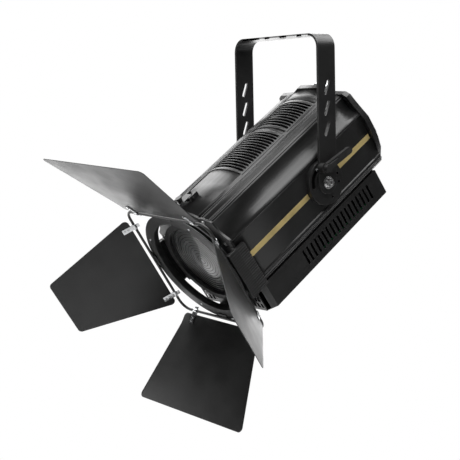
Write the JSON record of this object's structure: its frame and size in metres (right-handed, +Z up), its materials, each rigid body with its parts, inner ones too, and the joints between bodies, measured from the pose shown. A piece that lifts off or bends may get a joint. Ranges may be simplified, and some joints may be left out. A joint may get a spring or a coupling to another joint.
{
  "type": "fresnel theatre spotlight",
  "caption": "Black theatre spotlight with a Fresnel lens, a finned box housing, a flat-bar yoke with clamp levers and a rotating frame of hinged barn-door leaves.",
  "frame": {"origin": "centre of the clamp hole on the top face of the yoke's bar", "axes": "+Z up out of the clamp hole, X along the tilt axis, the lamp faces -Y and tilts down"},
  "size_m": [0.482, 0.6079, 0.6677],
  "materials": {
    "black_paint": "semi-gloss black powder coat",
    "black_satin": "satin black powder coat on sheet steel",
    "leaf_black": "matt high-temperature black on sheet steel",
    "black_plastic": "moulded black plastic",
    "gold_strip": "satin gold strip",
    "zinc": "bright zinc-plated steel",
    "bolt_steel": "machined steel",
    "lens_glass": "clear pressed glass",
    "gasket_rubber": "black silicone",
    "raw_aluminium": "bare aluminium",
    "bronze": "sintered bronze",
    "led_yellow": "phosphor-coated light source",
    "display": "smoked display window",
    "connector_blue": "moulded blue and black power connectors",
    "connector_metal": "nickel-finish socket shells",
    "board_green": "circuit board with components",
    "supply_metal": "folded aluminium case"
  },
  "bodies": {
    "yoke": {"yoke_bar": "black_satin", "yoke_corners": "black_satin", "yoke_arms": "black_satin", "lever_studs": "zinc"},
    "lever_right": {"lever_right": "black_plastic"},
    "lever_left": {"lever_left": "black_plastic"},
    "head": {"tilt_discs": "black_paint", "pivot_bolts": "bolt_steel", "pivot_nut_plates": "bolt_steel", "housing_shell": "black_paint", "gold_stripes": "gold_strip", "top_grille_front": "black_paint", "top_grille_rear": "black_paint", "housing_screws": "bolt_steel", "front_plate": "black_paint", "lens_ring": "black_paint", "lens_gasket": "gasket_rubber", "fresnel_lens": "lens_glass", "accessory_channels": "black_satin", "latch_bracket": "black_satin", "mid_bulkhead": "raw_aluminium", "guide_rods": "zinc", "rear_cap": "black_paint", "rear_grille": "black_paint", "control_panel": "black_plastic", "display_window": "display", "safety_eye": "zinc", "base_box": "black_paint", "base_front_grille": "black_paint", "base_rear_panel": "black_paint", "power_connectors": "connector_blue", "data_sockets": "connector_metal", "fuse_holder": "black_plastic", "power_supply": "supply_metal", "driver_board": "board_green"},
    "latch": {"frame_latch": "bolt_steel"},
    "light_engine": {"carriage_plate": "raw_aluminium", "rod_bushes": "bronze", "lead_nut": "bronze", "led_module": "led_yellow", "reflector": "raw_aluminium", "heat_sink": "raw_aluminium", "fan_frame": "black_plastic"},
    "fan": {"fan_rotor": "black_plastic"},
    "focus_drive": {"lead_screw": "zinc", "focus_knob": "black_plastic"},
    "menu_key": {"menu_button": "black_plastic"},
    "down_key": {"down_button": "black_plastic"},
    "up_key": {"up_button": "black_plastic"},
    "enter_key": {"enter_button": "black_plastic"},
    "barn_door": {"barn_door_ring": "black_satin", "wire_frame": "black_satin"},
    "top_door": {"top_leaf": "leaf_black", "top_leaf_clips": "zinc"},
    "right_door": {"right_leaf": "leaf_black", "right_leaf_clips": "zinc"},
    "bottom_door": {"bottom_leaf": "leaf_black", "bottom_leaf_clips": "zinc"},
    "left_door": {"left_leaf": "leaf_black", "left_leaf_clips": "zinc"}
  },
  "joints": [
    {"name": "head_tilt", "type": "hinge", "parent": "yoke", "child": "head", "pos_m": [0, 0, -0.26], "axis": [1, 0, 0], "range_deg": [-70, 58]},
    {"name": "lever_right_turn", "type": "hinge", "parent": "yoke", "child": "lever_right", "pos_m": [0.12, -0.015, -0.23402], "axis": [1, 0, 0], "range_deg": [-45, 90]},
    {"name": "lever_left_turn", "type": "hinge", "parent": "yoke", "child": "lever_left", "pos_m": [-0.12, -0.015, -0.23402], "axis": [1, 0, 0], "range_deg": [-45, 90]},
    {"name": "latch_lift", "type": "hinge", "parent": "head", "child": "latch", "pos_m": [0, -0.21579, -0.27827], "axis": [-1, 0, 0], "range_deg": [0, 60], "stiffness_Nm_per_rad": 0.15, "springref_deg": -8.59},
    {"name": "focus_slide", "type": "slide", "parent": "head", "child": "light_engine", "axis": [0, 0.8231, 0.5678], "range_m": [-0.035, 0.035]},
    {"name": "fan_spin", "type": "hinge", "parent": "light_engine", "child": "fan", "pos_m": [0, -0.01729, -0.27192], "axis": [0, 0.8231, 0.5678], "continuous": true},
    {"name": "focus_turn", "type": "hinge", "parent": "head", "child": "focus_drive", "pos_m": [-0.052, 0.15339, -0.20763], "axis": [0, 0.8231, 0.5678], "range_deg": [-1576, 1576]},
    {"name": "ring_turn", "type": "hinge", "parent": "head", "child": "barn_door", "pos_m": [0, -0.20883, -0.40406], "axis": [0, 0.8231, 0.5678], "continuous": true},
    {"name": "menu_press", "type": "slide", "parent": "head", "child": "menu_key", "axis": [0, -0.8231, -0.5678], "range_m": [0, 0.0012], "stiffness_N_per_m": 300, "springref_m": -0.001},
    {"name": "down_press", "type": "slide", "parent": "head", "child": "down_key", "axis": [0, -0.8231, -0.5678], "range_m": [0, 0.0012], "stiffness_N_per_m": 300, "springref_m": -0.001},
    {"name": "up_press", "type": "slide", "parent": "head", "child": "up_key", "axis": [0, -0.8231, -0.5678], "range_m": [0, 0.0012], "stiffness_N_per_m": 300, "springref_m": -0.001},
    {"name": "enter_press", "type": "slide", "parent": "head", "child": "enter_key", "axis": [0, -0.8231, -0.5678], "range_m": [0, 0.0012], "stiffness_N_per_m": 300, "springref_m": -0.001},
    {"name": "top_door_swing", "type": "hinge", "parent": "barn_door", "child": "top_door", "pos_m": [0.00685, -0.2743, -0.30916], "axis": [0.9982, 0.0337, -0.0488], "range_deg": [-37.6, 84.4]},
    {"name": "right_door_swing", "type": "hinge", "parent": "barn_door", "child": "right_door", "pos_m": [0.1153, -0.20494, -0.4097], "axis": [-0.0593, 0.5668, -0.8217], "range_deg": [-54.4, 78.6]},
    {"name": "bottom_door_swing", "type": "hinge", "parent": "barn_door", "child": "bottom_door", "pos_m": [-0.00685, -0.14336, -0.49897], "axis": [-0.9982, -0.0337, 0.0488], "range_deg": [-75.5, 46.5]},
    {"name": "left_door_swing", "type": "hinge", "parent": "barn_door", "child": "left_door", "pos_m": [-0.1153, -0.21272, -0.39842], "axis": [0.0593, -0.5668, 0.8217], "range_deg": [-73, 60]}
  ],
  "couplings": [
    {"joint": "focus_turn", "follows": "focus_slide", "rad_per_m": 785.4}
  ]
}
